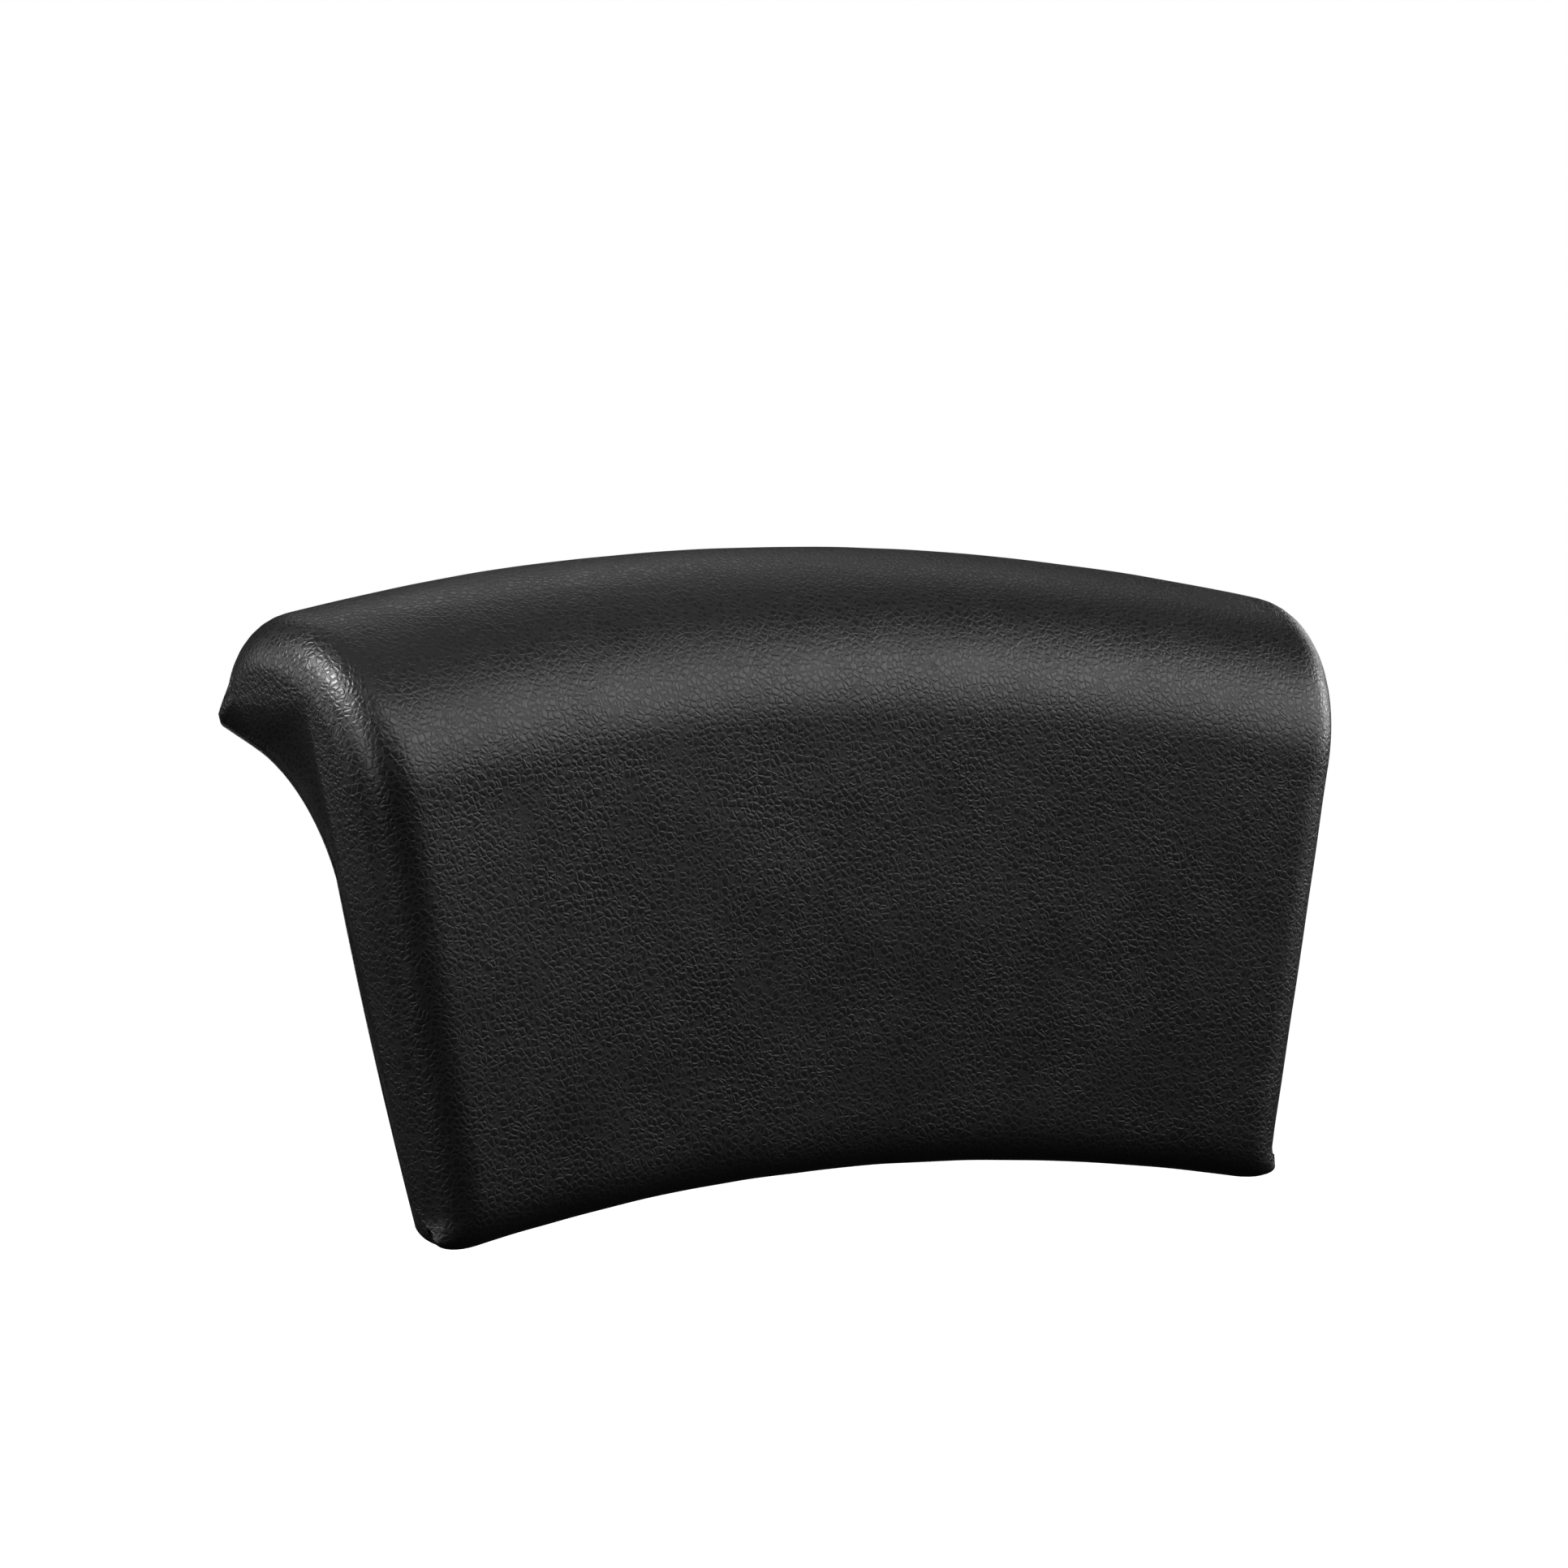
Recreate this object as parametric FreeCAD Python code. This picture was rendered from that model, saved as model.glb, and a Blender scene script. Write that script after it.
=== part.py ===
import FreeCAD, Part
import math
import os

# A headrest pad that sits on the top of a chair's back: a moulded foam pad with a grained skin,
# a rolled top that runs into a lip behind, and a smooth shell on the back and under the lip.
#
# Frame: the origin is the centre of the four mounting holes, on the plane of their boss faces.
# +X runs across the width, -Y is the sitter's side, +Z is up. Millimetres and degrees.
#
# The side profile is drawn in (u, z): u is the depth behind the front face and z the height above
# the line where the front face runs into the roll. The pad repeats this profile along its width,
# on an arch that brings the ends forward and down.

# ---- overall ----
WIDTH = 300.0           # across the ends, at the top of the roll
END_TAPER = 0.162       # each end runs in by this much per mm down
END_RAKE = 0.021        # and by this much per mm back
ARCH_PLAN_R = 848.0     # radius of the front face seen from above
ARCH_FRONT_R = 632.0    # radius of the arch seen from the front
FRONT_Y = -27.0         # the front face at mid width
ROLL_Z = 51.0           # the line between front face and roll, above the mounting holes

# ---- side profile ----
FRONT_HEADING = 88.9    # direction of the front face, going up
FRONT_LENGTH = 100.7
ROLL_R = 44.6           # from the front face to the top
ROLL_TURN = 87.8
CROWN_R = 25.3          # from the top to the tip of the lip
CROWN_TURN = 87.1
TIP_R = 4.2
UNDERSIDE_HEADING = -160.0
UNDERSIDE_LENGTH = 14.2
RAIL_R = 44.2           # the hollow under the lip, which sits over the chair's top rail
RAIL_TURN = 56.3
BACK_HEADING = -94.5
BACK_LENGTH = 88.6
BACK_TURN = 6.7
HEEL_R = 8.7            # the round lower rear edge
HEEL_HEADING = -182.8
TOE_PULL = 0.418        # how far the toe's curve is drawn along its two end directions

# ---- rounding of the end faces, walls ----
EDGE_FRONT = 12.0
EDGE_TIP = 8.0
EDGE_REAR = 2.3
EDGE_HEEL = 11.0
EDGE_LEAST = 0.6        # on the foam, where the walls take up the rounding
END_ZONE = 14.0         # the rounding lies in this last stretch of each end
SKIN = 1.8
SHELL = 2.2
BACK_SKIN = 0.8         # the thin skin between the foam and the shell

# ---- mounting ----
MOUNT_X = 60.0
MOUNT_Z = 16.0
MOUNT_HOLE_R = 3.0
MOUNT_HOLE_DEPTH = 13.0
INSERT_R = 6.0
INSERT_LENGTH = 16.0
BOSS_R = 10.0
BOSS_LENGTH = 9.0

# ---- steel armature ----
PLATE_INSET = 7.0       # the plate's rear face, in from the outside of the shell
PLATE = 1.6
PLATE_HALF_WIDTH = 100.0
PLATE_FROM = 8.0        # measured along the rear line, from the tip of the lip
PLATE_TO = 132.0
KEY_HOLES = ((-90, 0, 6), (-30, 0, 8), (0, 0, 8), (30, 0, 8), (90, 0, 6),
             (-76, -28, 6), (-38, -25, 6), (0, -28, 8), (38, -25, 6), (76, -28, 6))
RIB_X = {"left": -72.0, "centre": 0.0, "right": 72.0}
RIB = 2.5
RIB_OUTLINE = ((24, -58), (12, -50), (10, -8), (21, 16), (41, 29), (57, 28), (58, 12), (37, -3), (27, -25))
WIRE_R = 2.0
WIRE_BEND_R = 9.0
WIRE_X_PLATE = 86.0
WIRE_X_TOP = 124.0
WIRE_X_FOOT = 112.0
WIRE_TOP = 68.0         # along the rear line
WIRE_FOOT = 124.0

# ---- screws that hold the rear shell ----
SCREW_X = (-84.0, -28.0, 28.0, 84.0)
SCREW_ALONG = (74.0, 128.0)
SCREW_R = 1.95
SCREW_HOLE_R = 2.0
SCREW_LENGTH = 10.0
SCREW_HEAD_R = 3.8
SCREW_HEAD = 2.2
SCREW_SINK = 2.8        # depth of the counterbore below the shell's outside
SINK_R = 4.3
POST_R = 6.0

# ---- strip under the lip ----
STRIP_HALF_WIDTH = 105.0
STRIP_FROM = 9.0
STRIP_TO = 50.0
STRIP_PROUD = 1.5
STRIP_SUNK = 1.0

AXIS_Y = FreeCAD.Vector(0, 1, 0)


# ---- side profile as points with a heading ----
def stretch(start, length, turn, count):
    """Points (u, z, heading) along a stretch that turns evenly; a turn of 0 is straight."""
    u, z, heading = start
    angle = math.radians(heading)
    bend = math.radians(turn) / length
    points = []
    for step in range(count + 1):
        run = length * step / count
        now = angle + bend * run
        if turn:
            along_u = (math.sin(now) - math.sin(angle)) / bend
            along_z = (math.cos(angle) - math.cos(now)) / bend
        else:
            along_u = run * math.cos(angle)
            along_z = run * math.sin(angle)
        points.append((u + along_u, z + along_z, math.degrees(now)))
    return points


def arc(start, radius, turn, count):
    """A round stretch; a positive turn bends to the left."""
    return stretch(start, radius * math.radians(abs(turn)), turn, count)


def toe(start, end, count):
    """The curve from the heel up into the front face."""
    gap = math.hypot(end[0] - start[0], end[1] - start[1])
    poles = [FreeCAD.Vector(start[0], start[1], 0)]
    for point, pull in ((start, gap * TOE_PULL), (end, -gap * TOE_PULL)):
        heading = math.radians(point[2])
        poles.append(FreeCAD.Vector(point[0] + pull * math.cos(heading),
                                    point[1] + pull * math.sin(heading), 0))
    poles.append(FreeCAD.Vector(end[0], end[1], 0))
    curve = Part.BezierCurve()
    curve.setPoles(poles)
    points = []
    for step in range(count + 1):
        spot = curve.value(step / count)
        way = curve.tangent(step / count)[0]
        points.append((spot.x, spot.y, math.degrees(math.atan2(way.y, way.x))))
    return points


def side_profile():
    """The stretches of the closed outline, clockwise from the foot of the front face."""
    rise = math.radians(FRONT_HEADING)
    foot = (-FRONT_LENGTH * math.cos(rise), -FRONT_LENGTH * math.sin(rise), FRONT_HEADING)
    front = stretch(foot, FRONT_LENGTH, 0, 6)
    roll = arc(front[-1], ROLL_R, -ROLL_TURN, 8)
    crown = arc(roll[-1], CROWN_R, -CROWN_TURN, 7)
    tip = arc(crown[-1], TIP_R, UNDERSIDE_HEADING - crown[-1][2], 5)
    underside = stretch(tip[-1], UNDERSIDE_LENGTH, 0, 3)
    rail = arc(underside[-1], RAIL_R, RAIL_TURN, 8)
    corner = (rail[-1][0], rail[-1][1], (rail[-1][2] + BACK_HEADING) / 2)
    back = stretch((corner[0], corner[1], BACK_HEADING), BACK_LENGTH, -BACK_TURN, 7)
    rail[-1] = corner
    back[0] = corner
    heel = arc(back[-1], HEEL_R, HEEL_HEADING - back[-1][2], 6)
    front_foot = toe(heel[-1], foot, 5)
    return {"front": front, "roll": roll, "crown": crown, "tip": tip, "underside": underside,
            "rail": rail, "back": back, "heel": heel, "toe": front_foot}


PROFILE = side_profile()
TOP_Z = max(point[1] for point in PROFILE["roll"])

# for each stretch: the rounding of the end face's edge and the wall, at its start and its end
REAR_WALL = SHELL + BACK_SKIN
FINISH = {"front": (EDGE_FRONT, EDGE_FRONT, SKIN, SKIN), "roll": (EDGE_FRONT, EDGE_FRONT, SKIN, SKIN),
          "crown": (EDGE_FRONT, EDGE_TIP, SKIN, SKIN), "tip": (EDGE_TIP, EDGE_REAR, SKIN, SKIN),
          "underside": (EDGE_REAR, EDGE_REAR, SKIN, REAR_WALL),
          "rail": (EDGE_REAR, EDGE_REAR, REAR_WALL, REAR_WALL),
          "back": (EDGE_REAR, EDGE_REAR, REAR_WALL, REAR_WALL),
          "heel": (EDGE_REAR, EDGE_HEEL, REAR_WALL, SKIN), "toe": (EDGE_HEEL, EDGE_FRONT, SKIN, SKIN)}

# where the rounding changes early (below 1) or late in a stretch
CHANGE = {"crown": 5, "tip": 2, "heel": 0.5}

# the outline's edges, each one smooth curve over several stretches
EDGES = (("front", "roll", "crown", "tip"), ("underside", "rail"), ("back",), ("heel", "toe"))


def edge_points(names):
    """The profile points of one edge, without the repeats where its stretches meet."""
    points = PROFILE[names[0]][:1]
    for name in names:
        points = points + PROFILE[name][1:]
    return points


# ---- placing the profile along the arch ----
def place(across, u, z):
    """The point of the row's frame that lies at this distance across, depth and height."""
    angle = across / ARCH_PLAN_R
    reach = ARCH_PLAN_R + u
    drop = across * across / (2 * ARCH_FRONT_R)
    return FreeCAD.Vector(reach * math.sin(angle), reach * math.cos(angle) - ARCH_PLAN_R + FRONT_Y,
                          z - drop + ROLL_Z)


def inset_point(point, inset):
    """A profile point moved into the pad, square to the outline."""
    heading = math.radians(point[2])
    return point[0] + inset * math.sin(heading), point[1] - inset * math.cos(heading)


def run_lengths(points):
    """The distance run at each profile point."""
    runs = [0.0]
    for before, after in zip(points, points[1:]):
        runs.append(runs[-1] + math.hypot(after[0] - before[0], after[1] - before[1]))
    return runs


def smooth_edge(points, runs):
    """One curve through the points, with the same parameters in every section."""
    curve = Part.BSplineCurve()
    curve.interpolate(Points=points, Parameters=runs)
    return curve.toShape()


EDGE_RUNS = [run_lengths(edge_points(names)) for names in EDGES]


def ring(walled, side, dome=None):
    """One section of the pad, or with walls of the space inside them. Without a dome angle it lies
    at a share of the way out to an end zone; with one it is a step round that end's edge."""
    sections = []
    for names in EDGES:
        points = []
        for name in names:
            edge_a, edge_b, wall_a, wall_b = FINISH[name]
            count = len(PROFILE[name]) - 1
            for step, point in enumerate(PROFILE[name]):
                if points and step == 0:
                    continue
                wall = (wall_a + (wall_b - wall_a) * step / count) * walled
                share = (step / count) ** CHANGE.get(name, 1)
                edge = max(edge_a + (edge_b - edge_a) * share - wall, EDGE_LEAST)
                turn = math.radians(dome or 0)
                u, z = inset_point(point, wall + edge * (1 - math.cos(turn)))
                half = WIDTH / 2 - END_TAPER * (TOP_Z - z) - END_RAKE * u - SKIN * walled
                if dome is None:
                    across = half - END_ZONE
                else:
                    across = half - edge + edge * math.sin(turn)
                points.append(place(side * across, u, z))
        sections.append(points)
    if dome in (None, 90):
        sections = flatten(sections)
    return Part.Wire([smooth_edge(points, runs) for points, runs in zip(sections, EDGE_RUNS)])


def flatten(sections):
    """Slide a section's points along X into the plane of its foot, its roll and its tip."""
    foot, tip = sections[0][0], sections[0][-1]
    roll = sections[0][len(PROFILE["front"]) - 1]
    normal = (tip - foot).cross(roll - foot)
    flat = []
    for points in sections:
        flat.append([FreeCAD.Vector(p.x - normal.dot(p - foot) / normal.x, p.y, p.z) for p in points])
    return flat


def pad_layer(walled, domes):
    """The whole pad, or with walls the space inside its skin and shell."""
    body = Part.makeLoft([ring(walled, share) for share in (-1, -0.5, 0, 0.5, 1)], True, False)
    ends = []
    for side in (-1, 1):
        rings = [ring(walled, side)] + [ring(walled, side, dome) for dome in domes]
        ends.append(Part.makeLoft(rings, True, True))
    return body.fuse(ends).removeSplitter()


# ---- bands that follow the rear line, from the tip of the lip down the back ----
def rear_at(along):
    """The point of the rear line this far from the tip, with its heading."""
    rail_length = RAIL_R * math.radians(RAIL_TURN)
    if along <= UNDERSIDE_LENGTH:
        return stretch(PROFILE["tip"][-1], max(along, 0.001), 0, 1)[-1]
    along -= UNDERSIDE_LENGTH
    if along <= rail_length:
        turn = RAIL_TURN * along / rail_length
        return arc(PROFILE["underside"][-1], RAIL_R, turn, 1)[-1]
    along = max(along - rail_length, 0.001)
    start = (PROFILE["rail"][-1][0], PROFILE["rail"][-1][1], BACK_HEADING)
    return stretch(start, along, -BACK_TURN * along / BACK_LENGTH, 1)[-1]


REAR_LENGTH = UNDERSIDE_LENGTH + RAIL_R * math.radians(RAIL_TURN) + BACK_LENGTH


def band(start, end, inset_a, inset_b, half_width):
    """A layer between two insets from the rear line, across the width."""
    count = max(4, int((end - start) / 9))
    stops = [rear_at(start + (end - start) * i / count) for i in range(count + 1)]
    runs = [float(i) for i in range(count + 1)]
    wires = []
    for share in (-1, -0.5, 0, 0.5, 1):
        near = [place(share * half_width, *inset_point(p, inset_a)) for p in stops]
        far = [place(share * half_width, *inset_point(p, inset_b)) for p in reversed(stops)]
        wires.append(Part.Wire([smooth_edge(near, runs), Part.makeLine(near[-1], far[0]),
                                smooth_edge(far, runs), Part.makeLine(far[-1], near[0])]))
    return Part.makeLoft(wires, True, False)


# ---- pieces ----
def rod(x, y_from, y_to, z, radius):
    """A round bar along Y."""
    return Part.makeCylinder(radius, y_to - y_from, FreeCAD.Vector(x, y_from, z), AXIS_Y)


def mount_spots():
    return [(x, z) for z in (-MOUNT_Z, MOUNT_Z) for x in (-MOUNT_X, MOUNT_X)]


def screw_spots():
    """Where each shell screw meets the outside of the shell."""
    spots = []
    for along in SCREW_ALONG:
        for across in SCREW_X:
            point = rear_at(along)
            spots.append(place(across, point[0], point[1]))
    return spots


def make_inserts():
    inserts = []
    for x, z in mount_spots():
        barrel = rod(x, -INSERT_LENGTH, 0, z, INSERT_R)
        inserts.append(barrel.cut(rod(x, -MOUNT_HOLE_DEPTH, 1, z, MOUNT_HOLE_R)))
    return Part.makeCompound(inserts)


def make_screws():
    screws = []
    for spot in screw_spots():
        seat = spot.y - SCREW_SINK
        head = rod(spot.x, seat, seat + SCREW_HEAD, spot.z, SCREW_HEAD_R)
        shank = rod(spot.x, seat - SCREW_LENGTH, seat, spot.z, SCREW_R)
        screws.append(head.fuse(shank).removeSplitter())
    return Part.makeCompound(screws)


def make_plate():
    plate = band(PLATE_FROM, PLATE_TO, PLATE_INSET, PLATE_INSET + PLATE, PLATE_HALF_WIDTH)
    holes = [rod(x, -40, 5, z, radius) for x, z, radius in KEY_HOLES]
    holes += [rod(x, -40, 5, z, INSERT_R) for x, z in mount_spots()]
    holes += [rod(spot.x, -40, spot.y, spot.z, SCREW_HOLE_R) for spot in screw_spots()]
    return plate.cut(holes)


def make_rib(across, behind_ribs):
    """A flat web in the roll that ties the plate's back to its lip."""
    points = [place(across, u, z) for u, z in RIB_OUTLINE]
    face = Part.Face(Part.makePolygon(points + points[:1]))
    angle = across / ARCH_PLAN_R
    sideways = FreeCAD.Vector(math.cos(angle), -math.sin(angle), 0) * RIB
    face.translate(sideways * -0.5)
    return face.extrude(sideways).cut(behind_ribs)


def make_wire(side, behind_ribs):
    """A bent wire loop that carries the plate's stiffness out to one end of the pad."""
    depth = PLATE_INSET + PLATE + WIRE_R
    corners = []
    for across, along in ((WIRE_X_PLATE, WIRE_TOP), (WIRE_X_TOP, WIRE_TOP),
                          (WIRE_X_FOOT, WIRE_FOOT), (WIRE_X_PLATE, WIRE_FOOT)):
        corners.append(place(side * across, *inset_point(rear_at(along), depth)))
    edges = []
    start = corners[0]
    for before, corner, after in zip(corners, corners[1:], corners[2:]):
        back = (before - corner).normalize()
        ahead = (after - corner).normalize()
        half = back.getAngle(ahead) / 2
        middle = (back + ahead).normalize()
        run = WIRE_BEND_R / math.tan(half)
        crest = corner + middle * (WIRE_BEND_R / math.sin(half) - WIRE_BEND_R)
        edges.append(Part.makeLine(start, corner + back * run))
        edges.append(Part.Arc(corner + back * run, crest, corner + ahead * run).toShape())
        start = corner + ahead * run
    edges.append(Part.makeLine(start, corners[-1]))
    circle = Part.Circle(corners[0], corners[1] - corners[0], WIRE_R).toShape()
    loop = Part.Wire(edges).makePipeShell([Part.Wire(circle)], True, True)
    return loop.cut(behind_ribs)


def make_posts():
    """The shell's mounting bosses, and its screw posts that end on the plate."""
    bosses = [rod(x, -BOSS_LENGTH, 0, z, BOSS_R) for x, z in mount_spots()]
    ahead = band(PLATE_FROM, PLATE_TO, PLATE_INSET, PLATE_INSET + 3 * PLATE, PLATE_HALF_WIDTH)
    posts = []
    for spot in screw_spots():
        post = rod(spot.x, spot.y - PLATE_INSET - PLATE, spot.y - SHELL / 2, spot.z, POST_R)
        posts.append(post.cut(ahead))
    return bosses + posts


def make_shell(walls, rear_zone, posts, strip):
    """The rear shell with its bosses and posts, bored for the inserts and the screws."""
    shell = walls.common(rear_zone).fuse(posts)
    cuts = [strip]
    cuts += [rod(x, -INSERT_LENGTH, 1, z, INSERT_R) for x, z in mount_spots()]
    for spot in screw_spots():
        cuts.append(rod(spot.x, spot.y - 20, spot.y, spot.z, SCREW_HOLE_R))
        cuts.append(rod(spot.x, spot.y - SCREW_SINK, spot.y + 5, spot.z, SINK_R))
    return shell.cut(cuts)


def make_parts():
    pad = pad_layer(0, (0, 22, 45, 68, 90))
    foam_space = pad_layer(1, (0, 45, 90))
    rear_zone = band(0, REAR_LENGTH, -5, SHELL, WIDTH / 2 + 10)
    behind_ribs = band(PLATE_FROM, PLATE_TO, -8, PLATE_INSET + PLATE, PLATE_HALF_WIDTH)
    posts = make_posts()
    walls = pad.cut(foam_space)
    strip = band(STRIP_FROM, STRIP_TO, -STRIP_PROUD, STRIP_SUNK, STRIP_HALF_WIDTH)
    barrels = [rod(x, -INSERT_LENGTH, 0, z, INSERT_R) for x, z in mount_spots()]
    parts = {"saddle_strip": strip, "mount_inserts": make_inserts(), "shell_screws": make_screws(),
             "armature_plate": make_plate(), "grained_skin": walls.cut([rear_zone] + posts + barrels)}
    parts["rear_shell"] = make_shell(walls, rear_zone, posts, strip)
    for name, across in RIB_X.items():
        parts["lip_rib_" + name] = make_rib(across, behind_ribs)
    for name, side in (("left", -1), ("right", 1)):
        parts["edge_wire_" + name] = make_wire(side, behind_ribs)
    inside_foam = ("shell_screws", "armature_plate", "lip_rib_left", "lip_rib_centre", "lip_rib_right",
                   "edge_wire_left", "edge_wire_right")
    parts["foam_core"] = foam_space.cut([parts[name] for name in inside_foam] + barrels + posts)
    return parts


os.makedirs("parts", exist_ok=True)
for node, shape in make_parts().items():
    shape.exportStep("parts/" + node + ".step")
    print(node, shape.isValid(), len(shape.Solids), round(shape.Volume / 1000, 2), "cm3")
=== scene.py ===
import math

import bmesh
import bpy
import numpy as np
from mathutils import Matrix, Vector, noise


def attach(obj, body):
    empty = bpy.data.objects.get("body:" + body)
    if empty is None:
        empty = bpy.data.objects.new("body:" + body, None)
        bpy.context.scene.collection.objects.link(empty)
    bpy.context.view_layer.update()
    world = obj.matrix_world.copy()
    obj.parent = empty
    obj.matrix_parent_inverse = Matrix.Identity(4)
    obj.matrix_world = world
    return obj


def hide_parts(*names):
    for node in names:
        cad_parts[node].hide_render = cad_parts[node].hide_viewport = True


# A chair headrest pad: the grained foam moulding is built here as its own mesh on the CAD's lines,
# and the hard pieces are the CAD's own, with detailed materials. Metres, in the CAD's frame.

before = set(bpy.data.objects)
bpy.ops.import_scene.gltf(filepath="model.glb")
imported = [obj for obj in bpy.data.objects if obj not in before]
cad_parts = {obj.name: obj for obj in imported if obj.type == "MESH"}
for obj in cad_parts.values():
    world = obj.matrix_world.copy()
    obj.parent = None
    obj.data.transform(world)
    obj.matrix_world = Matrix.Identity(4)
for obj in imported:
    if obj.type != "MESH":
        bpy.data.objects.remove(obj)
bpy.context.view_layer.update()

MM = 0.001

# ---- the pad's lines, the same as the CAD's ----
WIDTH = 300.0 * MM
END_TAPER = 0.162
END_RAKE = 0.021
ARCH_PLAN_R = 848.0 * MM
ARCH_FRONT_R = 632.0 * MM
FRONT_Y = -27.0 * MM
ROLL_Z = 51.0 * MM

FRONT_HEADING = 88.9
FRONT_LENGTH = 100.7 * MM
ROLL_R = 44.6 * MM
ROLL_TURN = 87.8
CROWN_R = 25.3 * MM
CROWN_TURN = 87.1
TIP_R = 4.2 * MM
UNDERSIDE_HEADING = -160.0
UNDERSIDE_LENGTH = 14.2 * MM
RAIL_R = 44.2 * MM
RAIL_TURN = 56.3
BACK_HEADING = -94.5
BACK_LENGTH = 88.6 * MM
BACK_TURN = 6.7
HEEL_R = 8.7 * MM
HEEL_HEADING = -182.8
TOE_PULL = 0.418

EDGE_FRONT = 12.0 * MM
EDGE_TIP = 8.0 * MM
EDGE_REAR = 2.3 * MM
EDGE_HEEL = 11.0 * MM
SKIN = 1.8 * MM

# the ribbed rubber strip in the rail seat, as distances from the tip of the lip
STRIP_HALF_WIDTH = 105.0 * MM
STRIP_FROM = 9.0 * MM
STRIP_TO = 50.0 * MM
STRIP_PROUD = 1.5 * MM
STRIP_SUNK = 0.95 * MM
STRIP_EDGE = 0.8 * MM
STRIP_COLUMNS = 60      # mesh columns over half the strip's width
STRIP_EDGE_STEPS = 6
STRIP_RIB_STEPS = 10
STRIP_RIBS = 11
STRIP_GROOVE = 0.7 * MM

# points along each stretch; front and rear lines are paired across the end faces
STEPS = {"heel": 12, "toe": 12, "front": 46, "roll": 36, "crown": 30, "tip": 12,
         "underside": 20, "rail": 36, "back": 58}
EDGE_STEPS = 9          # round each end's edge
BODY_STEPS = 130        # across the pad

GRAIN_SCALE = 590.0     # cells per metre
GRAIN_DEPTH = 0.058 * MM
WAVE_SIZE = 26.0 * MM   # the slight unevenness of a foam moulding
WAVE_HEIGHT = 0.16 * MM

# ---- stage ----
LIGHT_DISTANCE = 1.3
LIGHT_CENTRE = Vector((0.0, 0.0, 0.03))
SURROUND = 0.017        # strength of the dim light from all round
FLOOR_Z = -0.30
FLOOR_SIZE = 14.0

# ---- camera ----
LOOK_AZIMUTH = -30.14   # negative: the camera stands to the left
LOOK_DOWN = 3.74
DISTANCE = 1.2036
LENS = 106.96
TARGET = Vector((-0.00946, -0.00146, 0.03381))


# ---- side profile ----
def stretch(start, length, turn, count):
    """Points (u, z, heading) along a stretch that turns evenly; a turn of 0 is straight."""
    u, z, heading = start
    angle = math.radians(heading)
    bend = math.radians(turn) / length
    points = []
    for step in range(count + 1):
        run = length * step / count
        now = angle + bend * run
        if turn:
            along_u = (math.sin(now) - math.sin(angle)) / bend
            along_z = (math.cos(angle) - math.cos(now)) / bend
        else:
            along_u = run * math.cos(angle)
            along_z = run * math.sin(angle)
        points.append((u + along_u, z + along_z, math.degrees(now)))
    return points


def arc(start, radius, turn, count):
    """A round stretch; a positive turn bends to the left."""
    return stretch(start, radius * math.radians(abs(turn)), turn, count)


def toe(start, end, count):
    """The cubic curve from the heel up into the front face."""
    gap = math.hypot(end[0] - start[0], end[1] - start[1])
    poles = [np.array(start[:2])]
    for point, pull in ((start, gap * TOE_PULL), (end, -gap * TOE_PULL)):
        heading = math.radians(point[2])
        poles.append(np.array(point[:2]) + pull * np.array((math.cos(heading), math.sin(heading))))
    poles.append(np.array(end[:2]))
    points = []
    for step in range(count + 1):
        t = step / count
        legs = [a + (b - a) * t for a, b in zip(poles, poles[1:])]
        legs = [a + (b - a) * t for a, b in zip(legs, legs[1:])]
        spot = legs[0] + (legs[1] - legs[0]) * t
        way = legs[1] - legs[0]
        points.append((spot[0], spot[1], math.degrees(math.atan2(way[1], way[0]))))
    return points


def side_profile():
    """The stretches of the closed outline, clockwise, each as points with a heading."""
    rise = math.radians(FRONT_HEADING)
    foot = (-FRONT_LENGTH * math.cos(rise), -FRONT_LENGTH * math.sin(rise), FRONT_HEADING)
    front = stretch(foot, FRONT_LENGTH, 0, STEPS["front"])
    roll = arc(front[-1], ROLL_R, -ROLL_TURN, STEPS["roll"])
    crown = arc(roll[-1], CROWN_R, -CROWN_TURN, STEPS["crown"])
    tip = arc(crown[-1], TIP_R, UNDERSIDE_HEADING - crown[-1][2], STEPS["tip"])
    underside = stretch(tip[-1], UNDERSIDE_LENGTH, 0, STEPS["underside"])
    rail = arc(underside[-1], RAIL_R, RAIL_TURN, STEPS["rail"])
    corner = (rail[-1][0], rail[-1][1], BACK_HEADING)
    back = stretch(corner, BACK_LENGTH, -BACK_TURN, STEPS["back"])
    heel = arc(back[-1], HEEL_R, HEEL_HEADING - back[-1][2], STEPS["heel"])
    return {"heel": heel, "toe": toe(heel[-1], foot, STEPS["toe"]), "front": front, "roll": roll,
            "crown": crown, "tip": tip, "underside": underside, "rail": rail, "back": back}


# how far the end face's edge is rounded, at the start and the end of each stretch
ROUNDING = {"heel": (EDGE_REAR, EDGE_HEEL), "toe": (EDGE_HEEL, EDGE_FRONT),
            "front": (EDGE_FRONT, EDGE_FRONT), "roll": (EDGE_FRONT, EDGE_FRONT),
            "crown": (EDGE_FRONT, EDGE_TIP), "tip": (EDGE_TIP, EDGE_REAR),
            "underside": (EDGE_REAR, EDGE_REAR), "rail": (EDGE_REAR, EDGE_REAR),
            "back": (EDGE_REAR, EDGE_REAR)}
CHANGE = {"crown": 5, "tip": 0.5, "heel": 1.2}    # where it changes early (below 1) or late
CORNER_FILL = 0.85      # a tight corner is rounded this far into the room that its radius leaves
LEAST_TURN = 0.001      # radians between points; below this a stretch counts as straight
FRONT_LINE = ("heel", "toe", "front", "roll", "crown", "tip")
REAR_LINE = ("underside", "rail", "back")
FRONT_COUNT = sum(STEPS[name] for name in FRONT_LINE)


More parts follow.
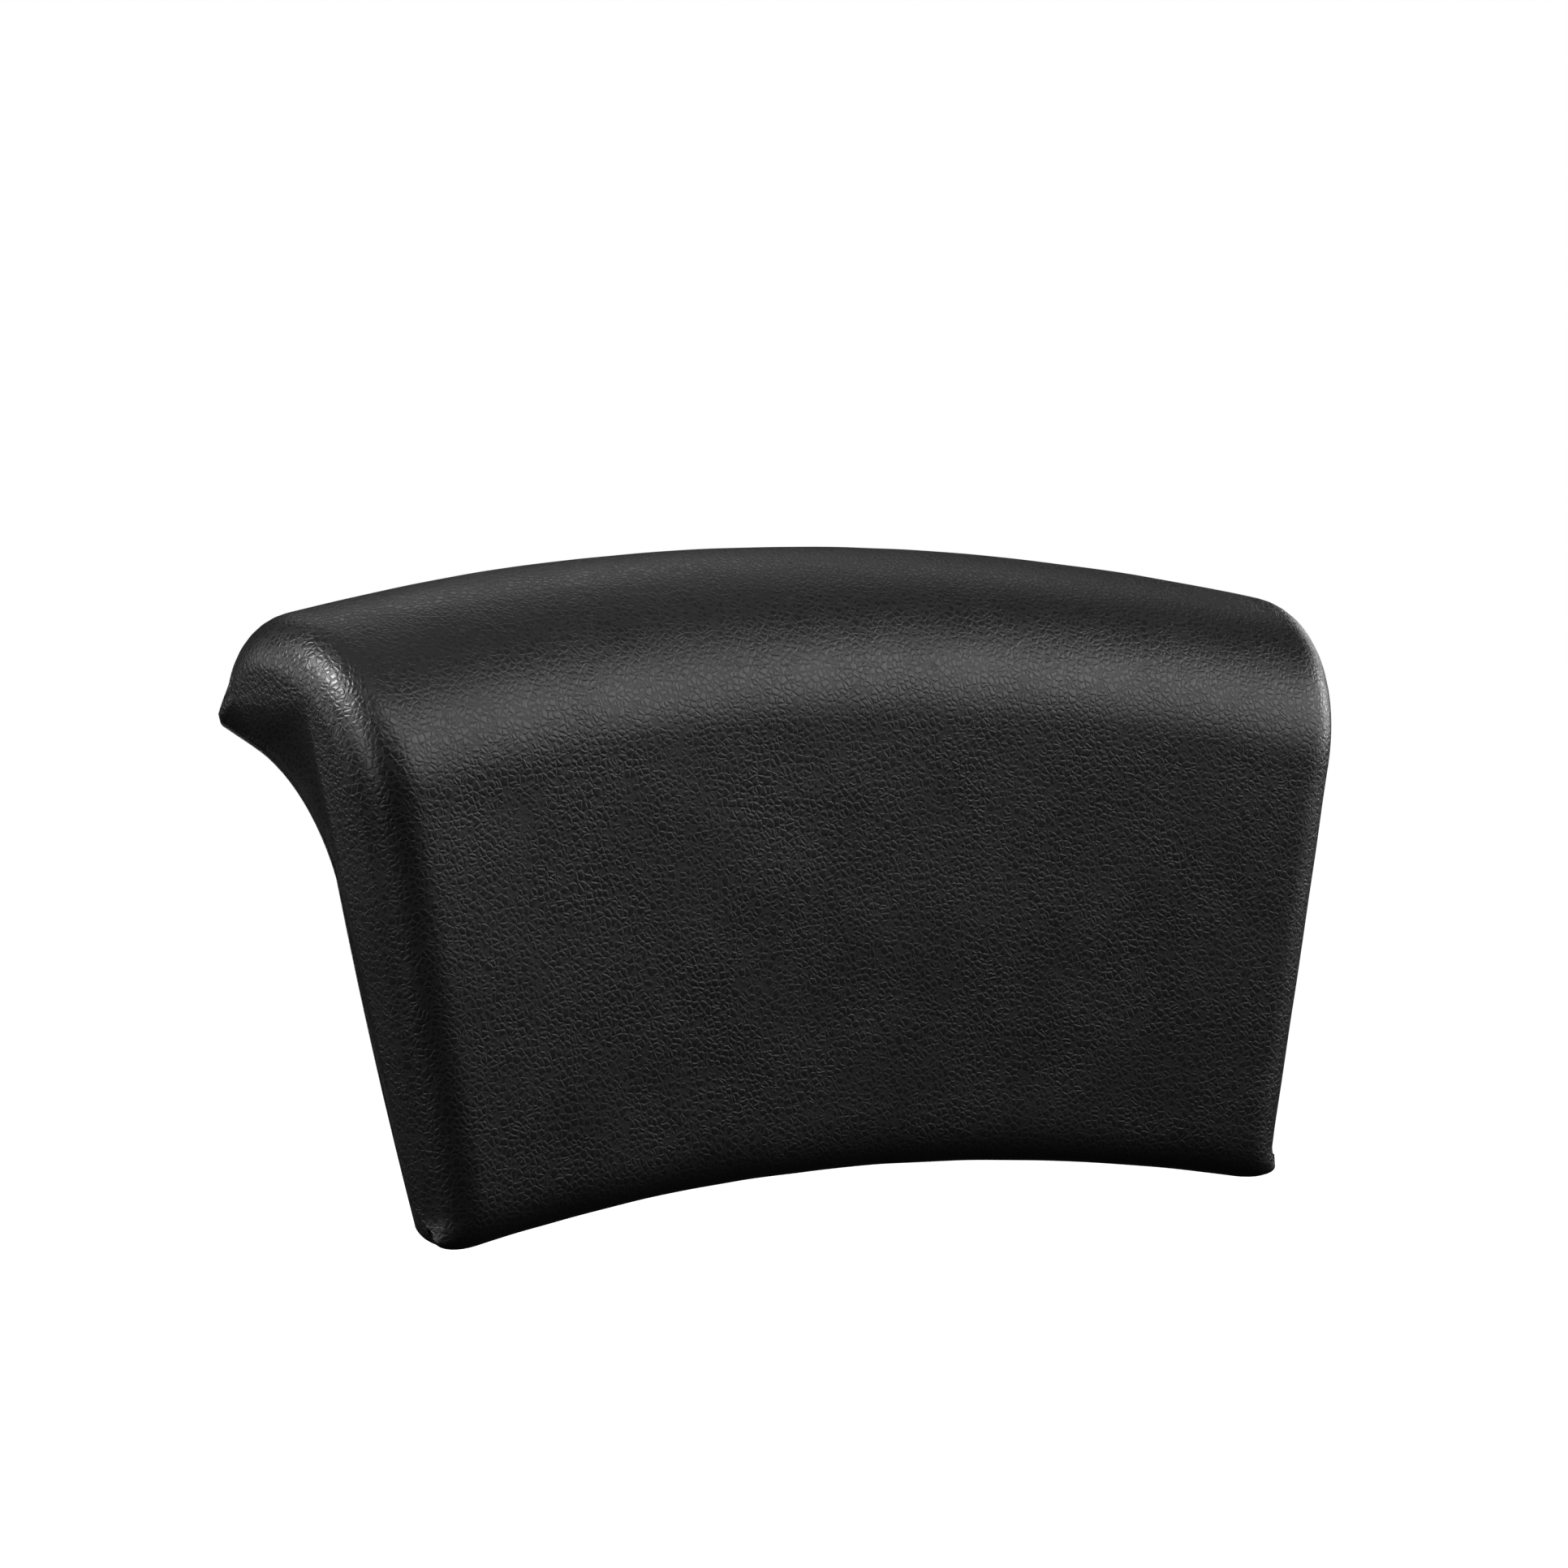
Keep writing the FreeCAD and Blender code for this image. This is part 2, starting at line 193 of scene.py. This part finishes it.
def corner_room(u, z, heading):
    """How deep each point can be inset before the inset line folds at a tight outward bend."""
    span = np.hypot(np.roll(u, -1) - u, np.roll(z, -1) - z)
    run = np.cumsum(span) - span
    turn = np.radians((heading - np.roll(heading, -1)) % 360)
    outward = (turn > LEAST_TURN) & (turn < math.pi) & (np.arange(len(run)) < FRONT_COUNT)
    gap = np.abs(run[:, None] - run[None, outward])
    gap = np.minimum(gap, span.sum() - gap)
    return (span[outward] / turn[outward] + gap).min(axis=1)


def outline():
    """Arrays round the closed profile: u, z, heading, rounding across and into the profile."""
    profile = side_profile()
    rows = []
    for name in FRONT_LINE + REAR_LINE:
        start, end = ROUNDING[name]
        count = STEPS[name]
        for step, point in enumerate(profile[name][:-1]):
            share = (step / count) ** CHANGE.get(name, 1)
            rows.append((*point, start + (end - start) * share))
    u, z, heading, edge = np.array(rows).T
    return u, z, heading, edge, np.minimum(edge, CORNER_FILL * corner_room(u, z, heading))


def place(across, u, z):
    """Points of the CAD's frame at these distances across, depths and heights."""
    angle = across / ARCH_PLAN_R
    reach = ARCH_PLAN_R + u
    drop = across * across / (2 * ARCH_FRONT_R)
    return np.stack([reach * np.sin(angle), reach * np.cos(angle) - ARCH_PLAN_R + FRONT_Y,
                     z - drop + ROLL_Z], axis=-1)


def pad_rings():
    """Rings of points round the pad, from the left end face to the right one."""
    u, z, heading, edge, depth = outline()
    way = np.radians(heading)
    top = z.max()

    def half(u, z):
        return WIDTH / 2 - END_TAPER * (top - z) - END_RAKE * u

    rings = []
    for side in (-1, 1):
        steps = range(EDGE_STEPS, 0, -1) if side < 0 else range(1, EDGE_STEPS + 1)
        for step in steps:
            turn = math.radians(90 * step / EDGE_STEPS)
            inset = depth * (1 - math.cos(turn))
            inner_u, inner_z = u + inset * np.sin(way), z - inset * np.cos(way)
            across = half(inner_u, inner_z) - edge + edge * math.sin(turn)
            rings.append(place(side * across, inner_u, inner_z))
        if side < 0:
            for share in np.linspace(-1, 1, BODY_STEPS + 1):
                rings.append(place(share * (half(u, z) - edge), u, z))
    return rings


def make_mesh(name, points, faces):
    """A smooth-shaded mesh object in the scene."""
    mesh = bpy.data.meshes.new(name)
    mesh.from_pydata([tuple(p) for p in points], [], faces)
    mesh.update()
    obj = bpy.data.objects.new(name, mesh)
    bpy.context.scene.collection.objects.link(obj)
    for polygon in mesh.polygons:
        polygon.use_smooth = True
    return obj


def face_outwards(obj):
    """Drop points that no face uses, and turn every face outwards."""
    used = bmesh.new()
    used.from_mesh(obj.data)
    bmesh.ops.delete(used, geom=[v for v in used.verts if not v.link_faces], context="VERTS")
    bmesh.ops.recalc_face_normals(used, faces=used.faces)
    used.to_mesh(obj.data)
    used.free()


def uneven(points, normals):
    """A slow, shallow wave over a moulded surface."""
    heights = [noise.fractal(Vector(p) / WAVE_SIZE, 1.0, 2.0, 2) for p in points]
    return points + normals * (np.array(heights)[:, None] * WAVE_HEIGHT)


def build_pad():
    """The grained skin: its front, roll, tip, foot and both end faces, with a wall inwards."""
    rings = pad_rings()
    around = len(rings[0])
    points = list(np.concatenate(rings))
    faces = []
    for row in range(len(rings) - 1):
        for i in range(FRONT_COUNT):
            a = row * around + i
            faces.append((a, a + 1, a + around + 1, a + around))
    last = len(points) - around
    faces += [tuple(range(around)), tuple(range(last, last + around))]
    pad = make_mesh("pad_skin", points, faces)
    face_outwards(pad)
    spots = np.array([v.co for v in pad.data.vertices])
    normals = np.array([v.normal for v in pad.data.vertices])
    for vertex, spot in zip(pad.data.vertices, uneven(spots, normals)):
        vertex.co = spot
    wall = pad.modifiers.new("wall", "SOLIDIFY")
    wall.thickness = SKIN
    wall.offset = -1
    wall.use_rim = True
    return pad


def rear_at(along):
    """u, z and heading at these distances along the rear line, from the tip of the lip."""
    profile = side_profile()
    line = np.array([point for name in ("underside", "rail") for point in profile[name]])
    steps = np.hypot(np.diff(line[:, 0]), np.diff(line[:, 1]))
    runs = np.concatenate(([0.0], np.cumsum(steps)))
    return [np.interp(along, runs, line[:, i]) for i in range(3)]


def rounded(gap):
    """How far a top edge is rounded off at this distance from its side."""
    gap = np.clip(gap, 0.0, STRIP_EDGE)
    return STRIP_EDGE - np.sqrt(STRIP_EDGE ** 2 - (STRIP_EDGE - gap) ** 2)


def build_strip():
    """The rubber strip in the rail seat, with fine ribs running along it."""
    edge = STRIP_EDGE * (1 - np.cos(np.radians(np.linspace(0, 90, STRIP_EDGE_STEPS))))
    length = STRIP_TO - STRIP_FROM
    ribs = np.linspace(edge[-1], length - edge[-1], STRIP_RIBS * STRIP_RIB_STEPS + 1)
    top = np.concatenate((edge[:-1], ribs, length - edge[-2::-1]))
    phase = np.clip((top - edge[-1]) / (length - 2 * edge[-1]), 0, 1) * STRIP_RIBS
    groove = np.abs(np.cos(math.pi * phase)) ** 6 * STRIP_GROOVE
    groove[phase < 0.5] = 0
    groove[phase > STRIP_RIBS - 0.5] = 0
    height = STRIP_PROUD - groove - rounded(top) - rounded(length - top)
    along = np.concatenate((top, top[::-1]))
    u, z, heading = rear_at(STRIP_FROM + along)
    way = np.radians(heading)
    inner = np.linspace(edge[-1], STRIP_HALF_WIDTH, STRIP_COLUMNS)
    wide = STRIP_HALF_WIDTH - np.concatenate((edge[:-1], inner))
    columns = np.concatenate((-wide, wide[-2::-1]))
    points = []
    for across in columns:
        top_height = height - rounded(STRIP_HALF_WIDTH - abs(across))
        out = np.concatenate((top_height, np.full(len(top), -STRIP_SUNK)))
        points.append(place(across, u - out * np.sin(way), z + out * np.cos(way)))
    around = len(along)
    faces = []
    for row in range(len(columns) - 1):
        for i in range(around):
            a, b = row * around + i, row * around + (i + 1) % around
            faces.append((a, b, b + around, a + around))
    for base in (0, (len(columns) - 1) * around):
        for i in range(len(top) - 1):
            faces.append((base + i, base + i + 1, base + around - 2 - i, base + around - 1 - i))
    strip = make_mesh("rail_strip", np.concatenate(points), faces)
    face_outwards(strip)
    return strip


# ---- materials ----
class Nodes:
    """A short way to build a material's nodes."""

    def __init__(self, name):
        self.material = bpy.data.materials.new(name)
        self.material.use_nodes = True
        self.tree = self.material.node_tree
        self.shader = self.tree.nodes["Principled BSDF"]
        self.place = self.add("ShaderNodeTexCoord").outputs["Object"]

    def add(self, kind, inputs=None, **settings):
        node = self.tree.nodes.new(kind)
        for key, value in settings.items():
            setattr(node, key, value)
        for key, value in (inputs or {}).items():
            if isinstance(value, bpy.types.NodeSocket):
                self.tree.links.new(value, node.inputs[key])
            else:
                node.inputs[key].default_value = value
        return node

    def noise(self, scale, detail=2.0, roughness=0.5, vector=None):
        node = self.add("ShaderNodeTexNoise", {"Vector": vector or self.place, "Scale": scale,
                                               "Detail": detail, "Roughness": roughness})
        return node.outputs["Fac"]

    def cells(self, scale, vector, feature="DISTANCE_TO_EDGE", out="Distance"):
        node = self.add("ShaderNodeTexVoronoi", {"Vector": vector, "Scale": scale},
                        feature=feature)
        return node.outputs[out]

    def remap(self, value, low, high, to_low, to_high, smooth=False):
        node = self.add("ShaderNodeMapRange",
                        {"Value": value, "From Min": low, "From Max": high, "To Min": to_low,
                         "To Max": to_high},
                        interpolation_type="SMOOTHSTEP" if smooth else "LINEAR")
        return node.outputs["Result"]

    def math(self, operation, a, b):
        return self.add("ShaderNodeMath", {0: a, 1: b}, operation=operation).outputs[0]

    def mix(self, share, a, b):
        node = self.add("ShaderNodeMix", data_type="RGBA")
        for index, value in ((0, share), (6, a), (7, b)):
            if isinstance(value, bpy.types.NodeSocket):
                self.tree.links.new(value, node.inputs[index])
            else:
                node.inputs[index].default_value = value
        return node.outputs[2]

    def bump(self, height, distance, strength=1.0, normal=None):
        inputs = {"Height": height, "Distance": distance, "Strength": strength}
        if normal:
            inputs["Normal"] = normal
        return self.add("ShaderNodeBump", inputs).outputs["Normal"]

    def warp(self, amount, scale):
        """The place, shifted about by noise, so that cells and grain aren't regular."""
        node = self.add("ShaderNodeTexNoise", {"Vector": self.place, "Scale": scale, "Detail": 1.0})
        shift = self.add("ShaderNodeVectorMath", {0: node.outputs["Color"], 1: (0.5, 0.5, 0.5)},
                         operation="SUBTRACT").outputs[0]
        scaled = self.add("ShaderNodeVectorMath", {0: shift, 3: amount}, operation="SCALE")
        return self.add("ShaderNodeVectorMath", {0: self.place, 1: scaled.outputs[0]},
                        operation="ADD").outputs[0]

    def finish(self, **inputs):
        for key, value in inputs.items():
            socket = self.shader.inputs[key.replace("_", " ")]
            if isinstance(value, bpy.types.NodeSocket):
                self.tree.links.new(value, socket)
            else:
                socket.default_value = value
        return self.material


def grained_skin():
    """Black integral skin with a moulded leather grain: low pebbles parted by narrow creases."""
    n = Nodes("grained_skin")
    spot = n.warp(1.6 * MM, 480.0)
    crease = n.cells(GRAIN_SCALE, spot)
    pebble = n.remap(crease, 0.015, 0.24, 0.0, 1.0, smooth=True)
    wander = n.noise(55.0, 2.0, 0.5)
    depth = n.remap(wander, 0.3, 0.7, 0.65, 1.15)
    dome = n.remap(crease, 0.1, 0.5, 0.0, 0.35)
    height = n.math("MULTIPLY", n.math("ADD", pebble, dome), depth)
    height = n.math("ADD", height, n.math("MULTIPLY", n.noise(3400.0, 2.0, 0.6), 0.10))
    height = n.math("ADD", height, n.math("MULTIPLY", n.noise(210.0, 2.0, 0.5), 0.9))
    slow = n.noise(38.0, 3.0, 0.55)
    rough = n.remap(slow, 0.3, 0.7, 0.31, 0.37)
    rough = n.math("ADD", rough, n.math("MULTIPLY", n.math("SUBTRACT", 1.0, pebble), 0.12))
    # painted shade: the narrow creases between pebbles are coloured darker than the pebble tops
    tone = n.mix(pebble, (0.0022, 0.0022, 0.0023, 1), (0.0042, 0.0042, 0.0044, 1))
    return n.finish(Base_Color=tone, Roughness=rough, Normal=n.bump(height, GRAIN_DEPTH, 1.0))


def moulded_plastic(name, tone, light, rough, grain=0.02):
    """Satin moulded plastic with a faint spark-eroded texture and slight unevenness."""
    n = Nodes(name)
    fine = n.noise(1900.0, 3.0, 0.6)
    slow = n.noise(45.0, 3.0, 0.5)
    normal = n.bump(fine, grain * MM, 0.8)
    normal = n.bump(slow, 0.25 * MM, 0.25, normal)
    colour = n.mix(n.remap(slow, 0.35, 0.65, 0.0, 1.0), (*tone, 1), (*light, 1))
    roughness = n.remap(n.noise(160.0, 4.0, 0.6), 0.3, 0.7, rough - 0.05, rough + 0.07)
    return n.finish(Base_Color=colour, Roughness=roughness, Normal=normal)


def rubber():
    """Matt black rubber with a little dust on it."""
    n = Nodes("strip_rubber")
    fine = n.noise(1400.0, 3.0, 0.65)
    dust = n.noise(90.0, 4.0, 0.6)
    colour = n.mix(n.remap(dust, 0.45, 0.8, 0.0, 1.0), (0.012, 0.012, 0.012, 1),
                   (0.028, 0.027, 0.026, 1))
    return n.finish(Base_Color=colour, Roughness=n.remap(dust, 0.3, 0.7, 0.68, 0.82),
                    Normal=n.bump(fine, 0.05 * MM, 0.8))


def metal(name, tone, dark, rough, streak=(1.0, 1.0, 1.0), scratch=0.015):
    """Bare or plated steel: streaks along one direction, stains and fine scratches."""
    n = Nodes(name)
    lined = n.add("ShaderNodeVectorMath", {0: n.place, 1: streak}, operation="MULTIPLY").outputs[0]
    grain = n.noise(900.0, 4.0, 0.65, lined)
    stain = n.noise(60.0, 5.0, 0.6)
    colour = n.mix(n.remap(stain, 0.35, 0.7, 0.0, 1.0), (*tone, 1), (*dark, 1))
    roughness = n.math("ADD", n.remap(grain, 0.3, 0.7, rough - 0.06, rough + 0.08),
                       n.remap(stain, 0.4, 0.7, 0.0, 0.08))
    return n.finish(Base_Color=colour, Metallic=1.0, Roughness=roughness,
                    Normal=n.bump(grain, scratch * MM, 0.7))


def foam():
    """Cellular foam: fine open bubbles in dark grey, with painted shade darkening the bubble
    hollows.
    """
    n = Nodes("cellular_foam")
    bubbles = n.cells(1300.0, n.warp(0.4 * MM, 900.0), "F1")
    big = n.cells(420.0, n.place, "F1")
    height = n.math("ADD", bubbles, n.math("MULTIPLY", big, 0.4))
    # painted shade: the bubble hollows are coloured darker than the cell walls between them
    colour = n.mix(n.remap(bubbles, 0.15, 0.6, 0.0, 1.0), (0.020, 0.020, 0.021, 1),
                   (0.075, 0.075, 0.078, 1))
    return n.finish(Base_Color=colour, Roughness=0.92, Normal=n.bump(height, 0.3 * MM, 1.0))


def give(node, material):
    """A CAD node's material, in all its slots."""
    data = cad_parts[node].data
    data.materials.clear()
    data.materials.append(material)


def dress_cad():
    """Materials for the CAD's own pieces."""
    shell = moulded_plastic("shell_plastic", (0.011, 0.011, 0.0115), (0.016, 0.016, 0.0165), 0.42)
    steel = metal("armature_steel", (0.52, 0.52, 0.51), (0.40, 0.39, 0.37), 0.36, (1.0, 6.0, 1.0))
    give("rear_shell", shell)
    give("foam_core", foam())
    for name in ("armature_plate", "lip_rib_left", "lip_rib_centre", "lip_rib_right"):
        give(name, steel)
    wire = metal("wire_steel", (0.50, 0.50, 0.50), (0.34, 0.33, 0.32), 0.3, (0.3, 4.0, 4.0))
    for name in ("edge_wire_left", "edge_wire_right"):
        give(name, wire)
    give("mount_inserts", metal("zinc_plate", (0.62, 0.62, 0.60), (0.52, 0.51, 0.47), 0.28))
    give("shell_screws", metal("black_zinc", (0.055, 0.055, 0.06), (0.03, 0.03, 0.033), 0.33))


# ---- stage ----
def area_light(name, azimuth, height, width, tall, power):
    """A soft rectangular light round the pad: azimuth 0 is in front of it, 90 to its right."""
    turn, lift = math.radians(azimuth), math.radians(height)
    way = Vector((math.sin(turn) * math.cos(lift), -math.cos(turn) * math.cos(lift),
                  math.sin(lift)))
    data = bpy.data.lights.new(name, "AREA")
    data.shape = "RECTANGLE"
    data.size = width
    data.size_y = tall
    data.energy = power
    lamp = bpy.data.objects.new(name, data)
    lamp.location = LIGHT_CENTRE + way * LIGHT_DISTANCE
    lamp.rotation_mode = "QUATERNION"
    lamp.rotation_quaternion = (-way).to_track_quat("-Z", "Y")
    bpy.context.scene.collection.objects.link(lamp)


def build_camera():
    """The camera, set by where it looks and from how far."""
    azimuth = math.radians(LOOK_AZIMUTH)
    down = math.radians(LOOK_DOWN)
    way = Vector((-math.sin(azimuth) * math.cos(down), math.cos(azimuth) * math.cos(down),
                  -math.sin(down)))
    data = bpy.data.cameras.new("camera")
    data.lens = LENS
    data.clip_start = 0.05
    data.clip_end = 50.0
    camera = bpy.data.objects.new("camera", data)
    camera.location = TARGET - way * DISTANCE
    camera.rotation_mode = "QUATERNION"
    camera.rotation_quaternion = way.to_track_quat("-Z", "Y")
    bpy.context.scene.collection.objects.link(camera)
    bpy.context.scene.camera = camera


def build_world():
    """White where the camera sees it, and only a dim light on the pad."""
    world = bpy.data.worlds.new("studio")
    world.use_nodes = True
    nodes = world.node_tree.nodes
    links = world.node_tree.links
    soft = nodes["Background"]
    soft.inputs["Color"].default_value = (1, 1, 1, 1)
    soft.inputs["Strength"].default_value = SURROUND
    seen = nodes.new("ShaderNodeBackground")
    seen.inputs["Strength"].default_value = 1.0
    seen.inputs["Color"].default_value = (1, 1, 1, 1)
    path = nodes.new("ShaderNodeLightPath")
    mix = nodes.new("ShaderNodeMixShader")
    links.new(path.outputs["Is Camera Ray"], mix.inputs[0])
    links.new(soft.outputs[0], mix.inputs[1])
    links.new(seen.outputs[0], mix.inputs[2])
    links.new(mix.outputs[0], nodes["World Output"].inputs["Surface"])
    bpy.context.scene.world = world


def build_lights():
    """Soft lights all round; the azimuth and height of each are in degrees."""
    area_light("key", 42, 26, 0.75, 0.60, 2.6)
    area_light("key_wide", 45, 28, 1.00, 0.80, 1.4)
    area_light("key_centre", 28, 22, 0.50, 0.60, 1.1)
    area_light("key_left_end", 56, 27, 0.22, 0.36, 1.8)
    area_light("front_high", 5, 44, 0.80, 0.45, 4.3)
    area_light("overhead", 0, 85, 0.80, 0.80, 1.0)
    area_light("right_far", 92, 12, 0.40, 0.50, 5.5)
    area_light("right_low", 64, 6, 0.40, 0.50, 1.3)
    area_light("left_low", -64, 10, 0.40, 0.50, 2.6)
    area_light("left_edge", -88, 38, 0.16, 0.20, 15.0)
    area_light("left_far", -104, 30, 0.28, 0.32, 1.8)
    area_light("left_back", -122, 8, 0.50, 0.50, 3.0)
    area_light("back_high", 165, 48, 0.80, 0.35, 1.3)
    area_light("back_right", 125, 48, 0.40, 0.40, 0.5)
    area_light("right_edge", 122, 14, 0.25, 0.30, 1.0)
    area_light("back_low", 168, -7, 0.70, 0.25, 3.2)


def build_floor():
    """A plain white floor, well below the pad."""
    size = FLOOR_SIZE / 2
    corners = [(x, y, FLOOR_Z) for x, y in ((-size, -size), (size, -size), (size, size),
                                            (-size, size))]
    floor = make_mesh("floor", corners, [(0, 1, 2, 3)])
    n = Nodes("floor_white")
    speck = n.noise(3.0, 3.0, 0.5)
    n.finish(Base_Color=n.mix(speck, (0.80, 0.80, 0.80, 1), (0.84, 0.84, 0.84, 1)), Roughness=0.9)
    n.finish(Emission_Color=(1, 1, 1, 1), Emission_Strength=1.0)
    floor.data.materials.append(n.material)
    floor.visible_diffuse = False
    floor.visible_glossy = False


pad = build_pad()
pad.data.materials.append(grained_skin())
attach(pad, "root")
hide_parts("grained_skin")
strip = build_strip()
strip.data.materials.append(rubber())
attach(strip, "root")
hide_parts("saddle_strip")
dress_cad()

build_world()
build_lights()
build_floor()
build_camera()
bpy.context.scene.view_settings.view_transform = "Standard"
